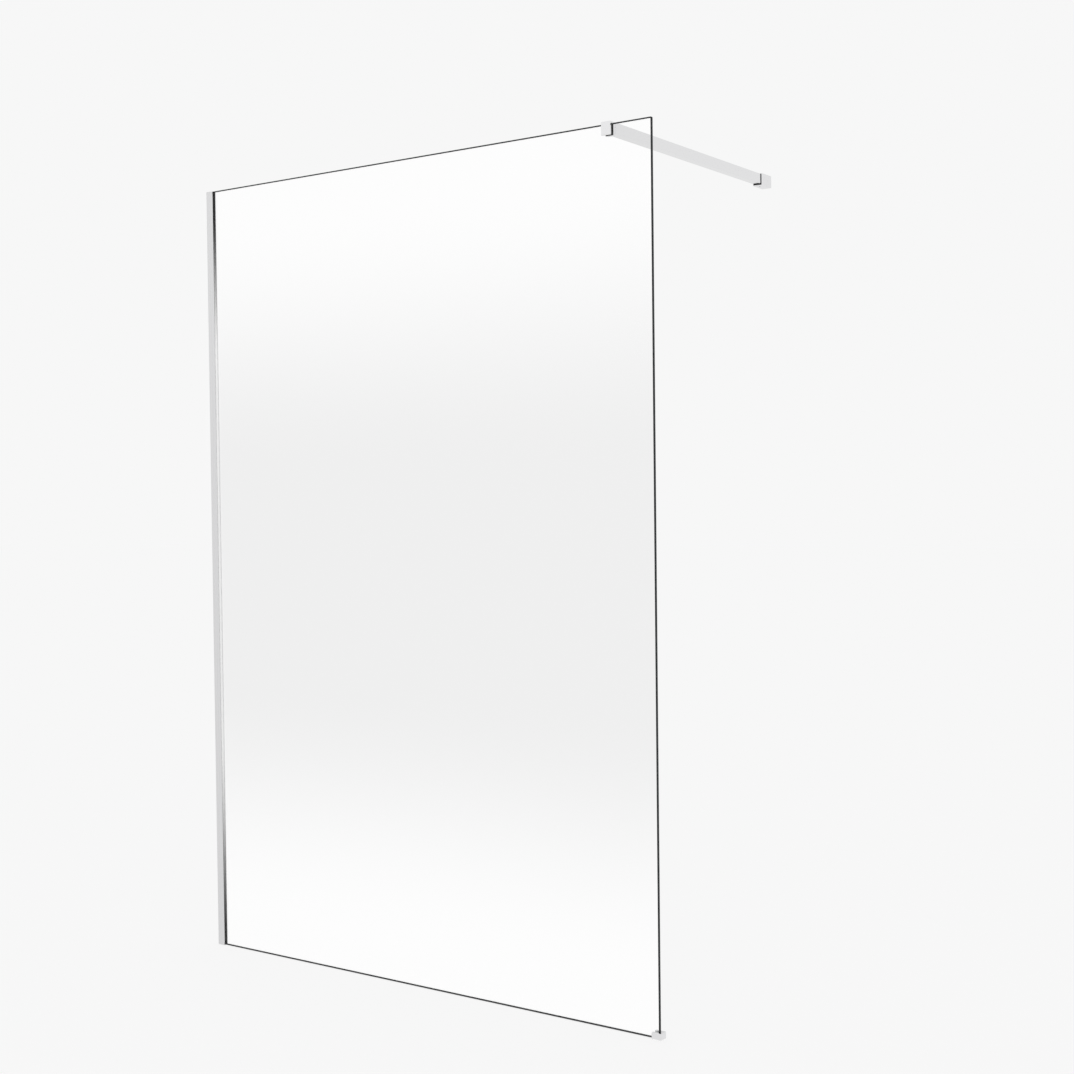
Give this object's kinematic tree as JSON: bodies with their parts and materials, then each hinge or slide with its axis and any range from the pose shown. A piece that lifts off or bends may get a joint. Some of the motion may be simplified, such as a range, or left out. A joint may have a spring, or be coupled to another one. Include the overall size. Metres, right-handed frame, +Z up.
{
  "type": "walk-in shower screen",
  "caption": "Frameless walk-in shower screen: clear glass pane in a slim wall channel, with a corner floor shoe and a square brace bar clamped to its top edge.",
  "frame": {"origin": "foot of the wall channel on the wall face, at the glass mid-plane and the floor", "axes": "+X runs along the glass from the wall to the free edge, +Y is square to the glass towards the side wall that holds the bar, +Z is up"},
  "size_m": [1.373, 0.774, 2.0071],
  "materials": {
    "clear_glass": "polished",
    "channel_aluminium": "bright polished",
    "chrome_fittings": "polished",
    "chrome_bar": "polished",
    "stainless_screws": "plain",
    "seal_vinyl": "clear, glossy",
    "black_liner": "matt",
    "sleeve_plastic": "matt",
    "disc_plastic": "matt",
    "cap_plastic": "satin",
    "pad_plastic": "matt",
    "clear_liner": "clear vinyl",
    "bonding_tape": "clear acrylic foam"
  },
  "bodies": {
    "channel": {"wall_channel": "channel_aluminium", "front_glazing_seal": "seal_vinyl", "rear_glazing_seal": "seal_vinyl", "channel_top_cap": "cap_plastic", "channel_setting_pad": "pad_plastic"},
    "pane": {"glass_pane": "clear_glass", "floor_shoe": "chrome_fittings", "shoe_liner": "clear_liner", "shoe_base_tape": "bonding_tape", "shoe_setting_pad": "pad_plastic"},
    "clamp": {"clamp_body": "chrome_fittings", "clamp_liner": "black_liner", "clamp_pressure_disc": "disc_plastic", "stabiliser_bar": "chrome_bar"},
    "socket": {"wall_socket": "chrome_fittings", "socket_liner": "sleeve_plastic"},
    "shoe_screw": {"shoe_set_screw": "stainless_screws"},
    "clamp_screw": {"clamp_set_screw": "stainless_screws"},
    "bar_screw": {"bar_set_screw": "stainless_screws"},
    "socket_screw": {"socket_set_screw": "stainless_screws"}
  },
  "joints": [
    {"name": "pane_adjust", "type": "slide", "parent": "channel", "child": "pane", "axis": [1, 0, 0], "range_m": [-0.005, 0.005]},
    {"name": "clamp_slide", "type": "slide", "parent": "pane", "child": "clamp", "axis": [1, 0, 0], "range_m": [-1.2, 0.095]},
    {"name": "bar_reach", "type": "slide", "parent": "clamp", "child": "socket", "axis": [0, 1, 0], "range_m": [-0.016, 0.01]},
    {"name": "shoe_screw_turn", "type": "hinge", "parent": "pane", "child": "shoe_screw", "pos_m": [1.357, 0.011, 0.01], "axis": [0, 1, 0], "continuous": true},
    {"name": "clamp_screw_turn", "type": "hinge", "parent": "clamp", "child": "clamp_screw", "pos_m": [1.254, 0.012, 1.9931], "axis": [0, 1, 0], "continuous": true},
    {"name": "bar_screw_turn", "type": "hinge", "parent": "clamp", "child": "bar_screw", "pos_m": [1.254, 0.0266, 1.9811], "axis": [0, 0, -1], "continuous": true},
    {"name": "socket_screw_turn", "type": "hinge", "parent": "socket", "child": "socket_screw", "pos_m": [1.254, 0.725, 1.978], "axis": [0, 0, -1], "continuous": true}
  ]
}
